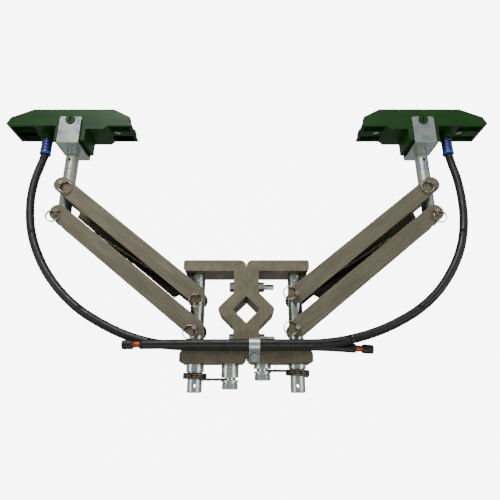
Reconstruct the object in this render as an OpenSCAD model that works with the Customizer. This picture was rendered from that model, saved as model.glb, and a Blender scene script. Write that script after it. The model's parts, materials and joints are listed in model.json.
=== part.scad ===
// Tandem current collector for a conductor rail. Two sprung parallel-arm
// collectors share one clamp, which grips a square tow bar.
// X runs along the rail, Z up to the rail, Y from the front to the rear.
// The origin is the centre of the tow bar's hole. Millimetres.

/* [Clamp brackets] */
// Side of the square tow bar
bar_size = 25.4; // [20:0.1:32]
// Play between the bar and the clamp
bar_play = 0.4; // [0.1:0.1:1]
// Depth of both brackets along the tow bar
bracket_depth = 50; // [46:1:70]
// Overall height of a bracket
bracket_height = 141; // [130:1:170]
// Thickness of the top and bottom flanges
flange_t = 16; // [12:0.5:20]
// Thickness of the upright web
web_t = 17.5; // [12:0.5:20]
// Wall thickness around the bar
vee_wall = 16; // [12:0.5:20]
// Distance from the joint face to the flange's end
flange_reach = 88.5; // [82:0.5:110]
// Diameter of the two clamp bolts
clamp_bolt_d = 8; // [6:1:10]
// Height of the clamp bolts above and below the bar
clamp_bolt_z = 37; // [34:0.5:42]

/* [Swing pivots] */
// Distance of each upright pivot from the bar's centre
pivot_x = 69.5; // [66:0.5:72]
// Diameter of the pivot post
post_d = 20; // [16:0.5:22]
// Length of post that shows under the bottom flange
post_drop = 37.5; // [32:0.5:45]
// Wire diameter of the centring spring
coil_wire = 3.6; // [2.5:0.1:4]
// Mean coil diameter of the centring spring
coil_mean_d = 29; // [28:0.5:34]
// Distance of the spring's anchor bolt from the joint face
anchor_x = 22; // [20:0.5:26]

/* [Arms] */
// Distance between the two pins of an arm
arm_length = 270; // [200:1:340]
// Height of an arm's channel section
arm_height = 24.5; // [20:0.5:28]
// Outside width of an arm's channel section
arm_width = 46; // [42:0.5:52]
// Wall thickness of an arm
arm_wall = 3.2; // [2:0.1:4]
// How far the upper arm's rear wall reaches below its front wall
rear_drop = 8; // [0:0.5:9]
// Upright distance between the upper and the lower pins
pin_gap = 46; // [40:1:50]
// Angle of the raised arms above level
arm_angle = 39; // [25:1:40]
// Diameter of the hinge pins
pin_d = 6.5; // [5:0.5:8]

/* [Lift springs] */
// Outside diameter of a lift spring
lift_spring_d = 8.4; // [6:0.2:9]
// Wire diameter of a lift spring
lift_wire = 1.6; // [1:0.1:2]
// Straight wire between the pin and the coils
lift_hook = 24; // [16:1:40]

/* [Head posts and shoe brackets] */
// Height of a head post's top above its upper pin
neck_rise = 60; // [45:1:80]
// Width of a shoe bracket along the rail
fork_width = 34; // [28:1:40]
// Gap between a shoe bracket's plates
fork_gap = 49; // [46:0.5:60]
// Plate thickness of a shoe bracket
fork_t = 3; // [2:0.5:5]
// Height of the plates above the bracket's underside
fork_height = 47.5; // [44:0.5:60]
// Diameter of the trunnions that rock in the plates
trunnion_d = 15.2; // [12:0.2:18]

/* [Collector heads] */
// Width of a collector head across the rail
head_width = 46; // [42:0.5:58]
// Height of a head's rim above its trunnion
head_rim = 23; // [20:0.5:30]
// Width of the channel that the rail runs in
rail_slot_w = 26; // [20:0.5:30]
// Depth of the channel that the rail runs in
rail_slot_h = 20; // [14:0.5:22]
// Length of the contact shoe
shoe_length = 126; // [100:1:130]
// Height of the contact shoe
shoe_height = 12; // [8:0.5:14]

/* [Cables] */
// Outside diameter of a cable
cable_d = 12; // [10:0.5:12]
// Length of bare copper at a cable's end
bare_length = 9; // [6:1:12]
// Length of the jacket slug left on a cable's end
slug_length = 14; // [8:1:20]
// Width of the strap that holds both cables
strap_width = 14; // [10:1:16]

/* [Hidden] */
$fn = 48;
cut = 1; // how far a cutting tool runs past a face

left = -1;
right = 1;

// clearances, all on the radius unless they say otherwise
run_fit = 0.05; // shaft that turns in a bore
open_fit = 0.3; // lower arm's outer pin, the pivot that closes the linkage
still_fit = 0.03; // shaft that stays still in a bore
face_gap = 0.3; // between faces that move past each other

// clamp brackets
half_height = bracket_height / 2;
flange_in = half_height - flange_t;
vee_in = (bar_size + bar_play) / sqrt(2);
vee_out = vee_in + vee_wall * sqrt(2);
joint_corner_r = 9;
flange_corner_r = 2.5;
stop_corner_r = 5; // inner corner, where a raised arm comes to rest
vee_corner_r = 6;

// clamp bolts, anchor bolts and the strap's screw
washer_t = 1.6;
clamp_head_h = 0.65 * clamp_bolt_d;
clamp_nut_h = 0.8 * clamp_bolt_d;
clamp_flats = 1.6 * clamp_bolt_d;
clamp_washer_d = 2 * clamp_bolt_d;
clamp_thread_end = 14;
anchor_d = 12;
anchor_flats = 19;
anchor_head_h = 7.5;
anchor_depth = 13;
anchor_washer_d = 24;
lock_washer_t = 2;
strap_t = 1.5;
strap_x = 11;
strap_screw_d = 5;
strap_screw_depth = 10;
strap_head_d = 12.5;
strap_head_h = 3;

// base post and what rides on it
top_journal_d = post_d - 4;
top_journal_h = 11;
bush_wall = 3;
collar_wall = 3;
thrust_washer_h = 3.5;
// both centring springs have the same hand, so the left one hangs upside down
lower_collar_h = [10.5, 6];
coil_turns = 3;
coil_pitch = coil_wire - 0.1; // the coils touch
post_low = -half_height - post_drop;
leg_gap = coil_wire + 0.4;
post_hole_d = 5;

// pins, rings and spacers
pin_mid_z = -1.5;
upper_pin = [pivot_x, pin_mid_z + pin_gap / 2];
lower_pin = [pivot_x, pin_mid_z - pin_gap / 2];
reach = arm_length * [cos(arm_angle), sin(arm_angle)];
upper_head_pin = upper_pin + reach;
lower_head_pin = lower_pin + reach;
pin_head_d = 10;
pin_head_h = 2.5;
pin_front = arm_width / 2 + 6;
ring_r = 9.2;
ring_wire = 1.5;
ring_y = -arm_width / 2 - 2.3;
ring_hole_d = 3.2;
spacer_wall = 2;
arm_inside = arm_width - 2 * arm_wall;
web_cut = 25; // arm's web stops this far from each pin

// lift springs lie on the diagonal from the upper base pin to the lower head pin
spring_run = lower_head_pin - upper_pin;
spring_span = norm(spring_run);
spring_tilt = atan2(spring_run[1], spring_run[0]);
spring_y = (post_d / 2 + arm_inside / 2) / 2;
hook_r = pin_d / 2 + lift_wire / 2 + 0.15;

// head post, shoe bracket and head
head_x = upper_head_pin[0];
neck_top = upper_head_pin[1] + neck_rise;
post_foot = lower_head_pin[1] - 11;
shank_d = 12;
socket_d = shank_d + 2 * run_fit;
socket_depth = 30;
stem_gap = 1;
stem_h = 9;
stem_d = post_d - 1;
lock_drop = 10; // cross pin below the post's top
lock_d = 4.8;
fork_low = neck_top + stem_gap + stem_h;
trunnion_z = fork_low + fork_height - 6;
notch_d = trunnion_d + 2 * run_fit;

// collector head's outline, about the trunnion, outward end at +X
floor_z = head_rim - rail_slot_h;
belly_z = -8; // underside of both ends
hump_z = -14; // underside inward of the fork
waist_z = -35; // underside between the plates
waist_x = 24;
head_outline = [
    [63, head_rim], [98, 8], [104, -4], [100, belly_z],
    [waist_x, belly_z], [waist_x, waist_z], [-waist_x, waist_z],
    [-waist_x, hump_z], [-52, hump_z], [-58, belly_z],
    [-97, belly_z], [-93.5, -3], [-92, 9], [-66, head_rim]
];
pocket_depth = 6.5;
pocket_wall = 3.5;
boot_top = -19; // a boss on the head's underside reaches down to the boot
boot_x = 45;
boot_d = 17.5;
boot_h = 28;
screw_x = 68;
screw_sink = 5.5;

// Cable routes: chosen points, from a head's boot to the strap and on to the bare end.
boot_end = [head_x + boot_x, trunnion_z + boot_top - boot_h];
left_route = [
    [-328, 0, 238], [-332, -2, 212], [-332, -5, 180], [-327, -8, 147], [-318, -11, 116],
    [-304, -14, 86], [-285, -17, 56], [-259, -20, 26], [-228, -23, 0], [-194, -26, -20],
    [-161, -28, -35], [-127, -30, -45], [-98, -31.5, -49], [-70, -31.5, -50],
    [-40, -31.5, -50], [-10, -31.5, -50], [strap_x, -31.5, -50],
    [40, -31.5, -50], [75, -31.5, -50], [110, -31.5, -51], [143, -31.5, -53]
];
right_route = [
    [327, 0, 238], [330, -3, 210], [330, -6, 178], [327, -9, 147], [320, -13, 117],
    [308, -17, 86], [289, -21, 54], [264, -26, 24], [235, -31, 0], [204, -36, -18],
    [172, -40, -32], [134, -43, -43], [98, -44, -48], [70, -44, -48.5],
    [40, -44, -48.5], [strap_x, -44, -48.5],
    [-20, -44, -48.5], [-55, -44, -48.5], [-95, -44, -49], [-136, -44, -49.5]
];
// Each cable is made in four lengths, which end at these points of its route.
jacket_loss = 3.5; // how much thinner the bare strands are
left_ends = [0, 5, 9, 12, len(left_route)];
right_ends = [0, 5, 9, 12, len(right_route)];
strap_y = [-44 - cable_d / 2, -31.5 + cable_d / 2];
strap_z = -49.25;
strap_r = cable_d / 2 + 0.9;
strap_hole_z = strap_z - strap_r - strap_t - strap_head_d / 2 - 0.2; // head clears the loop

function coil_top(s) = -half_height - lower_collar_h[s < 0 ? 0 : 1] - 0.5 - coil_wire / 2;
function coil_low(s) = coil_top(s) - (coil_turns - 1) * coil_pitch;
function leg_z(s) = s < 0 ? coil_low(s) : coil_top(s);
function tail_z(s) = s < 0 ? coil_top(s) : coil_low(s);

// points along an arc
function arc(centre, r, from, to, steps = 6) =
    [for (i = [0 : steps])
        centre + r * [cos(from + (to - from) * i / steps), sin(from + (to - from) * i / steps)]];

// ---- helpers ----

// builds the right-hand side, or its mirror image
module side(s) {
    if (s < 0) mirror([1, 0, 0]) children();
    else children();
}

// puts what is drawn at the origin at a point [x, z] of the side view
module at(p, y = 0) {
    translate([p[0], y, p[1]]) children();
}

// cylinder along Y, from y0 to y1
module across(d, y0, y1) {
    translate([0, y1, 0]) rotate([90, 0, 0]) cylinder(d = d, h = y1 - y0);
}

// side view extruded over a width, centred on the middle plane
module slab(width) {
    rotate([90, 0, 0]) linear_extrude(height = width, center = true) children();
}

module hex_prism(flats, h) {
    cylinder(d = flats / cos(30), h = h, $fn = 6);
}

module washer(outer, inner, h) {
    difference() {
        cylinder(d = outer, h = h);
        translate([0, 0, -cut]) cylinder(d = inner, h = h + 2 * cut);
    }
}

// ---- clamp ----

module bracket_outline() {
    h = half_height;
    polygon(concat(
        arc([joint_corner_r, -h + joint_corner_r], joint_corner_r, 180, 270),
        arc([flange_reach - flange_corner_r, -h + flange_corner_r], flange_corner_r, 270, 360, 4),
        arc([flange_reach - stop_corner_r, -flange_in - stop_corner_r], stop_corner_r, 0, 90),
        [[web_t, -flange_in], [web_t, web_t - vee_out]],
        arc([vee_out - vee_corner_r * sqrt(2), 0], vee_corner_r, -45, 45, 8),
        [[web_t, vee_out - web_t], [web_t, flange_in]],
        arc([flange_reach - stop_corner_r, flange_in + stop_corner_r], stop_corner_r, 270, 360),
        arc([flange_reach - flange_corner_r, h - flange_corner_r], flange_corner_r, 0, 90, 4),
        arc([joint_corner_r, h - joint_corner_r], joint_corner_r, 90, 180),
        [[0, vee_in], [vee_in, 0], [0, -vee_in]]
    ));
}

module clamp_bracket() {
    color("#8a8578") difference() {
        slab(bracket_depth) bracket_outline();
        for (z = [-clamp_bolt_z, clamp_bolt_z])
            translate([-cut, 0, z]) rotate([0, 90, 0])
                cylinder(d = clamp_bolt_d + 1, h = web_t + 2 * cut);
        translate([pivot_x, 0, -half_height - cut])
            cylinder(d = post_d + 2 * bush_wall, h = flange_t + 2 * cut);
        translate([pivot_x, 0, flange_in - cut])
            cylinder(d = top_journal_d + 2 * bush_wall, h = top_journal_h + 1 + cut);
        translate([anchor_x, 0, -half_height - cut])
            cylinder(d = anchor_d, h = anchor_depth + cut);
    }
}

module strap_screw_hole() {
    at([strap_x, strap_hole_z])
        across(strap_screw_d, -bracket_depth / 2 - cut, strap_screw_depth - bracket_depth / 2);
}

module clamp_bolts() {
    head_x0 = -web_t - washer_t - clamp_head_h;
    length = 2 * web_t + 2 * washer_t + clamp_nut_h + clamp_thread_end;
    color("#c4c8cc") for (z = [-clamp_bolt_z, clamp_bolt_z])
        translate([head_x0, 0, z]) rotate([0, 90, 0]) {
            hex_prism(clamp_flats, clamp_head_h);
            cylinder(d = clamp_bolt_d, h = clamp_head_h + length);
        }
}

module clamp_nuts() {
    bore = clamp_bolt_d + 2 * still_fit;
    color("#c4c8cc") for (z = [-clamp_bolt_z, clamp_bolt_z]) {
        for (x = [-web_t - washer_t, web_t])
            translate([x, 0, z]) rotate([0, 90, 0]) washer(clamp_washer_d, bore, washer_t);
        translate([web_t + washer_t, 0, z]) rotate([0, 90, 0]) difference() {
            hex_prism(clamp_flats, clamp_nut_h);
            translate([0, 0, -cut]) cylinder(d = bore, h = clamp_nut_h + 2 * cut);
        }
    }
}

// A centring spring's leg lies in a gap in each stack of washers.
function stack_top(s) = -half_height - leg_z(s) - leg_gap / 2;
function stack_count(s) = max(1, floor(stack_top(s) / 2.4));
function stack_height(s) = stack_top(s) + leg_gap + 2 * lock_washer_t;

module anchor_bolts() {
    color("#c4c8cc") for (s = [left, right]) translate([s * anchor_x, 0, -half_height]) {
        translate([0, 0, -stack_height(s)])
            cylinder(d = anchor_d - 2 * still_fit, h = stack_height(s) + anchor_depth - 1);
        translate([0, 0, -stack_height(s) - anchor_head_h])
            hex_prism(anchor_flats, anchor_head_h);
    }
}

module anchor_washers() {
    bore = anchor_d + 2 * still_fit;
    color("#c4c8cc") for (s = [left, right]) translate([s * anchor_x, 0, -half_height]) {
        t = stack_top(s) / stack_count(s);
        for (i = [1 : stack_count(s)])
            translate([0, 0, -i * t]) washer(anchor_washer_d - 0.8 * (i % 2), bore, t);
        for (i = [0, 1])
            translate([0, 0, -stack_height(s) + i * lock_washer_t])
                washer(anchor_washer_d - 4 + 4 * i, bore, lock_washer_t);
    }
}

// ---- swing pivots ----

module post_bushes() {
    color("#b08d57") {
        translate([pivot_x, 0, -half_height])
            washer(post_d + 2 * bush_wall - 2 * still_fit, post_d + 2 * run_fit, flange_t);
        translate([pivot_x, 0, flange_in])
            washer(top_journal_d + 2 * bush_wall - 2 * still_fit,
                   top_journal_d + 2 * run_fit, top_journal_h + 0.5);
    }
}

// three coils round the post, a leg to the anchor bolt and a short free end
module centring_spring(s) {
    leg_y = anchor_d / 2 + leg_gap / 2 + 0.2;
    r = coil_mean_d / 2;
    color("#7d7a72") union() {
        for (i = [0 : coil_turns - 1])
            translate([pivot_x, 0, coil_top(s) - i * coil_pitch])
                rotate_extrude() translate([r, 0]) circle(d = coil_wire, $fn = 16);
        hull() {
            translate([pivot_x, r, leg_z(s)]) sphere(d = coil_wire, $fn = 16);
            translate([anchor_x - anchor_d / 2, leg_y, leg_z(s)]) sphere(d = coil_wire, $fn = 16);
        }
        translate([pivot_x, r, tail_z(s)])
            rotate([0, 90, 0]) cylinder(d = coil_wire, h = r + 1.5, $fn = 16);
    }
}

module base_post() {
    h = flange_in - face_gap - post_low;
    color("#a9b0ab") difference() {
        translate([pivot_x, 0, post_low]) rotate_extrude() polygon([
            [0, 0], [post_d / 2 - 1.2, 0], [post_d / 2, 1.2], [post_d / 2, h],
            [top_journal_d / 2, h], [top_journal_d / 2, h + top_journal_h - 0.5],
            [0, h + top_journal_h - 0.5]
        ]);
        for (p = [upper_pin, lower_pin])
            at(p) across(pin_d + 2 * still_fit, -post_d, post_d);
        at([pivot_x, flange_in - 7]) across(post_hole_d + 1, -post_d, post_d);
        at([pivot_x, post_low + 9]) across(post_hole_d, -post_d, post_d);
    }
}

// collar below the bottom flange and thrust washer above it
module post_collars(s) {
    outer = post_d + 2 * collar_wall;
    bore = post_d + 2 * still_fit;
    color("#c4c8cc") {
        h = lower_collar_h[s < 0 ? 0 : 1];
        translate([pivot_x, 0, -half_height - face_gap - h]) washer(outer - 2, bore, h);
        translate([pivot_x, 0, -flange_in + face_gap]) washer(outer, bore, thrust_washer_h);
    }
}

// ---- hinge pins ----

module hinge_pin(ring_angle) {
    color("#b9b6a8") difference() {
        union() {
            across(pin_d, -pin_front, arm_width / 2 + face_gap + pin_head_h);
            across(pin_head_d, arm_width / 2 + face_gap, arm_width / 2 + face_gap + pin_head_h);
        }
        translate([0, ring_y, 0]) rotate([0, -ring_angle, 0])
            cylinder(d = ring_hole_d, h = pin_d + 2 * cut, center = true);
    }
}

module split_ring(ring_angle) {
    color("#9c9580")
        translate([ring_r * cos(ring_angle), ring_y, ring_r * sin(ring_angle)])
            rotate([90, 0, 0]) rotate_extrude() translate([ring_r, 0])
                circle(d = ring_wire, $fn = 16);
}

// sleeves that keep an arm's walls apart on both sides of a post
module spacers(p) {
    y0 = post_d / 2 + face_gap;
    y1 = arm_inside / 2 - face_gap;
    for (s = [-1, 1]) at(p, s * (y0 + y1) / 2) difference() {
        across(pin_d + 2 * spacer_wall, (y0 - y1) / 2, (y1 - y0) / 2);
        across(pin_d + 2 * run_fit, -y1, y1);
    }
}

// ---- arms ----

// channel with a pin bore at each end, open downwards (-1) or upwards (1), and the depth that
// its rear wall is let down past its front one
module arm(open, outer_fit, drop = 0) {
    h = arm_height;
    trough_z = open < 0 ? -h : arm_wall - h / 2;
    web_z = open < 0 ? h / 2 - arm_wall - cut : -h / 2 - cut;
    color("#8d887b") difference() {
        union() {
            slab(arm_width) union() {
                translate([0, -h / 2]) square([arm_length, h]);
                circle(d = h);
                translate([arm_length, 0]) circle(d = h);
            }
            if (drop > 0)
                translate([0, (arm_width - arm_wall) / 2, 0]) slab(arm_wall) polygon([
                    [h, 0], [arm_length - h, 0],
                    [arm_length - h - drop, -h / 2 - drop], [h + drop, -h / 2 - drop]
                ]);
        }
        translate([-h, -arm_inside / 2, trough_z])
            cube([arm_length + 2 * h, arm_inside, 1.5 * h - arm_wall]);
        for (x = [-h, arm_length - web_cut])
            translate([x, -arm_inside / 2, web_z])
                cube([h + web_cut, arm_inside, arm_wall + 2 * cut]);
        across(pin_d + 2 * run_fit, -arm_width, arm_width);
        translate([arm_length, 0, 0]) across(pin_d + 2 * outer_fit, -arm_width, arm_width);
    }
}

// puts its children along both lift springs, with X from the upper base pin to the lower head pin
module on_springs() {
    color("#5f5b52") for (y = [-spring_y, spring_y])
        at(upper_pin, y) rotate([0, -spring_tilt, 0]) children();
}

module spring_eye() {
    rotate([90, 0, 0]) rotate_extrude() translate([hook_r, 0]) circle(d = lift_wire, $fn = 16);
}

// two tension springs, one each side of the posts, with the eyes that hold the base pin
module lift_springs() {
    body = spring_span - 2 * lift_hook;
    on_springs() union() {
        spring_eye();
        translate([hook_r, 0, 0]) rotate([0, 90, 0])
            cylinder(d = lift_wire, h = lift_hook + 1 - hook_r, $fn = 16);
        translate([lift_hook, 0, 0]) rotate([0, 90, 0]) difference() {
            cylinder(d = lift_spring_d, h = body);
            translate([0, 0, lift_wire])
                cylinder(d = lift_spring_d - 2 * lift_wire, h = body - 2 * lift_wire);
        }
    }
}

// the same springs' other ends, which hold the head pin
module spring_hooks() {
    on_springs() translate([spring_span, 0, 0]) union() {
        spring_eye();
        translate([-lift_hook, 0, 0]) rotate([0, 90, 0])
            cylinder(d = lift_wire, h = lift_hook - hook_r, $fn = 16);
    }
}

// ---- head post and shoe bracket ----

module head_post() {
    h = neck_top - post_foot;
    lock_z = neck_top - lock_drop;
    color("#a9b0ab") difference() {
        translate([head_x, 0, post_foot]) rotate_extrude() polygon([
            [0, 0], [post_d / 2 - 3, 0], [post_d / 2, 3],
            [post_d / 2, h - 26.5], [post_d / 2 - 0.6, h - 26.5],
            [post_d / 2 - 0.6, h - 25.5], [post_d / 2, h - 25.5],
            [post_d / 2, h - 0.8], [post_d / 2 - 0.8, h],
            [socket_d / 2, h], [socket_d / 2, h - socket_depth], [0, h - socket_depth]
        ]);
        for (p = [upper_head_pin, lower_head_pin])
            at(p) across(pin_d + 2 * still_fit, -post_d, post_d);
        at([head_x, lock_z]) across(lock_d + 2 * still_fit, -post_d, -socket_d / 4);
    }
}

// hollow cross pin that keeps the shoe bracket's shank in the head post
module swivel_pin() {
    at([head_x, neck_top - lock_drop]) color("#6f726c") difference() {
        across(lock_d, -post_d / 2, -shank_d / 2 + 1.3);
        across(lock_d / 2, -post_d, 0);
    }
}

module shoe_bracket() {
    w = fork_gap + 2 * fork_t;
    h = fork_height;
    shank_top = fork_low + fork_t - cut;
    shank_low = neck_top - socket_depth + 1.5;
    lock_z = neck_top - lock_drop;
    stem_low = neck_top + stem_gap;
    color("#b9c0bd") difference() {
        union() {
            for (y = [-w / 2 + fork_t / 2, w / 2 - fork_t / 2])
                translate([head_x, y, fork_low]) slab(fork_t) difference() {
                    polygon(concat(
                        [[-fork_width / 2, 0], [fork_width / 2, 0]],
                        arc([fork_width / 2 - 3, h - 3], 3, 0, 90, 5),
                        arc([3 - fork_width / 2, h - 3], 3, 90, 180, 5)
                    ));
                    translate([0, trunnion_z - fork_low]) circle(d = notch_d);
                }
            translate([head_x - fork_width / 2, -w / 2, fork_low])
                cube([fork_width, w, fork_t]);
            translate([head_x, 0, 0]) rotate_extrude() polygon([
                [0, shank_low], [shank_d / 2 - 1, shank_low], [shank_d / 2, shank_low + 1],
                [shank_d / 2, lock_z - lock_d / 2 - 0.4], [shank_d / 2 - 1.6, lock_z - lock_d / 2 - 0.4],
                [shank_d / 2 - 1.6, lock_z + lock_d / 2 + 0.4], [shank_d / 2, lock_z + lock_d / 2 + 0.4],
                [shank_d / 2, stem_low], [stem_d / 2, stem_low],
                [stem_d / 2, shank_top], [0, shank_top]
            ]);
        }
        // mouth above each trunnion notch
        for (y = [-w / 2 + fork_t / 2, w / 2 - fork_t / 2])
            translate([head_x, y, trunnion_z + notch_d / 2])
                cube([notch_d * 0.68, fork_t + cut, notch_d], center = true);
    }
}

// ---- collector head ----

module collector_head() {
    trunnion_len = fork_gap + 2 * fork_t + 3;
    centre = [head_x, trunnion_z];
    pocket_w = head_width / 2 - pocket_wall - 6.5; // leaves a rib down the middle
    color("#1f4a24") difference() {
        union() {
            at(centre) slab(head_width) polygon(head_outline);
            at(centre) across(trunnion_d, -trunnion_len / 2, trunnion_len / 2);
            at(centre) translate([boot_x, 0, boot_top])
                cylinder(d = boot_d + 3, h = floor_z - boot_top);
        }
        // rail channel
        at(centre) translate([-150, -rail_slot_w / 2, floor_z])
            cube([300, rail_slot_w, rail_slot_h + cut]);
        // pockets in the underside of both ends
        for (y = [pocket_wall - head_width / 2, head_width / 2 - pocket_wall - pocket_w])
            for (x = [[60, 36], [-91, 32]])
                at(centre) translate([x[0], y, belly_z - cut])
                    cube([x[1], pocket_w, pocket_depth + cut]);
        // slot that lets each trunnion snap into its notch
        for (y = [-trunnion_len / 2 - cut, trunnion_len / 2 - 5])
            at(centre) translate([-1, y, -trunnion_d / 2 + 3])
                cube([2, 5 + cut, trunnion_d]);
        // screw holes from below
        for (x = [-screw_x, screw_x])
            at(centre) translate([x, 0, belly_z - cut]) {
                cylinder(d = 10.5, h = screw_sink + cut);
                cylinder(d = 5.4, h = floor_z - belly_z + 2 * cut);
            }
    }
}

module contact_shoe() {
    l = shoe_length;
    top = floor_z + shoe_height;
    // the screws reach into the shoe from below
    color("#8c5a3c") difference() {
        translate([head_x, 0, trunnion_z]) slab(rail_slot_w - 6) polygon([
            [-l / 2, floor_z], [l / 2 + 18, floor_z], [l / 2 + 18, floor_z + 3],
            [l / 2, top], [-l / 2, top], [-l / 2 - 18, floor_z + 3], [-l / 2 - 18, floor_z]
        ]);
        for (x = [-screw_x, screw_x])
            translate([head_x + x, 0, trunnion_z + floor_z - cut])
                cylinder(d = 5, h = shoe_height / 2 + cut);
    }
}

module shoe_screws() {
    low = belly_z + screw_sink;
    color("#c4c8cc") for (x = [-screw_x, screw_x])
        translate([head_x + x, 0, trunnion_z + low]) {
            translate([0, 0, -4]) difference() {
                cylinder(d = 9, h = 4);
                translate([0, 0, -cut]) hex_prism(4, 2.5 + cut);
            }
            cylinder(d = 5 - 2 * still_fit, h = floor_z - low + shoe_height / 2 - 0.5);
        }
}

module cable_boot() {
    color("#1b3f9e") translate([head_x + boot_x, 0, boot_end[1]]) rotate_extrude() polygon([
        [0, 0], [boot_d / 2 - 0.8, 0], [boot_d / 2, 0.8], [boot_d / 2, 3.5],
        [boot_d / 2 - 0.9, 4.5], [boot_d / 2 - 1.2, boot_h], [0, boot_h]
    ]);
}

// ---- cables ----

// ring of points round a route's point, square to the way the cable runs
function unit(v) = v / norm(v);
function way(route, i) =
    unit(route[min(i + 1, len(route) - 1)] - route[max(i - 1, 0)]);
function ring(route, i, r, sides) =
    let (t = i == 0 ? [0, 0, -1] : way(route, i),
         a = unit(cross(t, [0, 1, 0])),
         b = cross(t, a))
    [for (k = [0 : sides - 1])
        route[i] + r * (a * cos(360 * k / sides) + b * sin(360 * k / sides))];

// tube along route[first] to route[last]
module tube(route, first, last, d, sides = 12) {
    n = last - first;
    points = [for (i = [first : last]) each ring(route, i, d / 2, sides)];
    sides_of = [for (i = [0 : n - 1]) for (k = [0 : sides - 1])
        [i * sides + k, i * sides + (k + 1) % sides,
         (i + 1) * sides + (k + 1) % sides, (i + 1) * sides + k]];
    ends = [[for (k = [sides - 1 : -1 : 0]) k], [for (k = [0 : sides - 1]) n * sides + k]];
    polyhedron(points, concat(sides_of, ends), convexity = 4);
}

function whole_route(s) = concat(
    [[s * boot_end[0], 0, boot_end[1]]], s < 0 ? left_route : right_route);

module cable(s, piece) {
    ends = s < 0 ? left_ends : right_ends;
    color("#1c1b19") tube(whole_route(s), ends[piece], ends[piece + 1], cable_d);
}

// straight stretch beyond a cable's cut end, from one distance to another
module past_end(s, from, to, d) {
    route = whole_route(s);
    t = way(route, len(route) - 1);
    end = route[len(route) - 1];
    translate(end + from * t)
        rotate([0, acos(t[2]), atan2(t[1], t[0])]) cylinder(d = d, h = to - from);
}

module strands() {
    color("#b5502f") for (s = [left, right]) past_end(s, 0, bare_length, cable_d - jacket_loss);
}

module slugs() {
    color("#1c1b19") for (s = [left, right])
        past_end(s, bare_length, bare_length + slug_length, cable_d);
}

// ---- strap ----

// loop round both cables, with both ends of the strap flat on the bracket's face
module strap_outline(grow) {
    r = strap_r + grow;
    for (y = [strap_y[0] + cable_d / 2, strap_y[1] - cable_d / 2])
        translate([y, strap_z]) circle(r = r);
    translate([strap_y[0] + cable_d / 2, strap_z - r])
        square([strap_y[1] - strap_y[0] - cable_d, 2 * r]);
}

module cable_strap() {
    face = -bracket_depth / 2;
    tab_low = strap_hole_z - 6;
    color("#aeb3ae") difference() {
        translate([strap_x - strap_width / 2, 0, 0]) rotate([90, 0, 90])
            linear_extrude(height = strap_width) difference() {
                union() {
                    strap_outline(strap_t);
                    translate([face - 2 * strap_t, tab_low])
                        square([2 * strap_t, strap_z - tab_low]);
                    translate([face - strap_t, strap_z - strap_r])
                        square([strap_t, 2 * strap_r]);
                }
                strap_outline(0);
                translate([face, strap_z - 30]) square([30, 60]);
            }
        at([strap_x, strap_hole_z])
            across(strap_screw_d + 0.4, face - 10, face + cut);
    }
}

module strap_screw() {
    face = -bracket_depth / 2 - 2 * strap_t;
    at([strap_x, strap_hole_z]) color("#d0d3d6") difference() {
        union() {
            across(strap_screw_d - 2 * still_fit, face, face + strap_screw_depth + 1);
            translate([0, face, 0]) rotate([90, 0, 0])
                cylinder(d1 = strap_head_d, d2 = strap_head_d - 3, h = strap_head_h);
        }
        for (a = [0, 90])
            translate([0, face - strap_head_h, 0]) rotate([0, a, 0])
                cube([6, 3, 1.2], center = true);
    }
}

side(left) clamp_bracket();  // clamp_bracket_left
difference() { clamp_bracket(); strap_screw_hole(); }  // clamp_bracket_right
clamp_bolts();
clamp_nuts();
anchor_bolts();
anchor_washers();
cable_strap();
strap_screw();
strands();  // cable_strands
slugs();  // cable_slugs

for (s = [left, right]) {
    tag = s < 0 ? "left" : "right";
    side(s) post_bushes();
    side(s) centring_spring(s);
    side(s) base_post();
    side(s) post_collars(s);
    // each ring lies the way it happened to fall
    base_angles = s < 0 ? [-90, -45] : [170, 185];
    head_angles = s < 0 ? [220, -50] : [215, -60];
    side(s) {
        at(upper_pin) hinge_pin(base_angles[0]);
        at(lower_pin) hinge_pin(base_angles[1]);
    }
    side(s) {
        at(upper_pin) split_ring(base_angles[0]);
        at(lower_pin) split_ring(base_angles[1]);
    }
    side(s) color("#d8d4c8") spacers(lower_pin);
    side(s) at(upper_pin) rotate([0, -arm_angle, 0]) arm(-1, run_fit, rear_drop);
    side(s) at(lower_pin) rotate([0, -arm_angle, 0]) arm(1, open_fit);
    side(s) lift_springs();
    side(s) spring_hooks();
    side(s) head_post();
    side(s) {
        at(upper_head_pin) hinge_pin(head_angles[0]);
        at(lower_head_pin) hinge_pin(head_angles[1]);
    }
    side(s) {
        at(upper_head_pin) split_ring(head_angles[0]);
        at(lower_head_pin) split_ring(head_angles[1]);
    }
    side(s) color("#d8d4c8") spacers(upper_head_pin);
    side(s) swivel_pin();
    side(s) shoe_bracket();
    side(s) collector_head();
    side(s) contact_shoe();
    side(s) shoe_screws();
    side(s) cable_boot();
    cable(s, 0);
    cable(s, 1);
    cable(s, 2);
    cable(s, 3);
}
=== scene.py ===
"""Looks of a tandem current collector, built round its CAD frame.

Every hard part is a bevelled copy of its CAD node with a finish of its own. Springs, split rings,
cables, their boots and bare strands are new surfaces. All lengths are metres, in the CAD's own
axes.
"""

import json
import math

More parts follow.
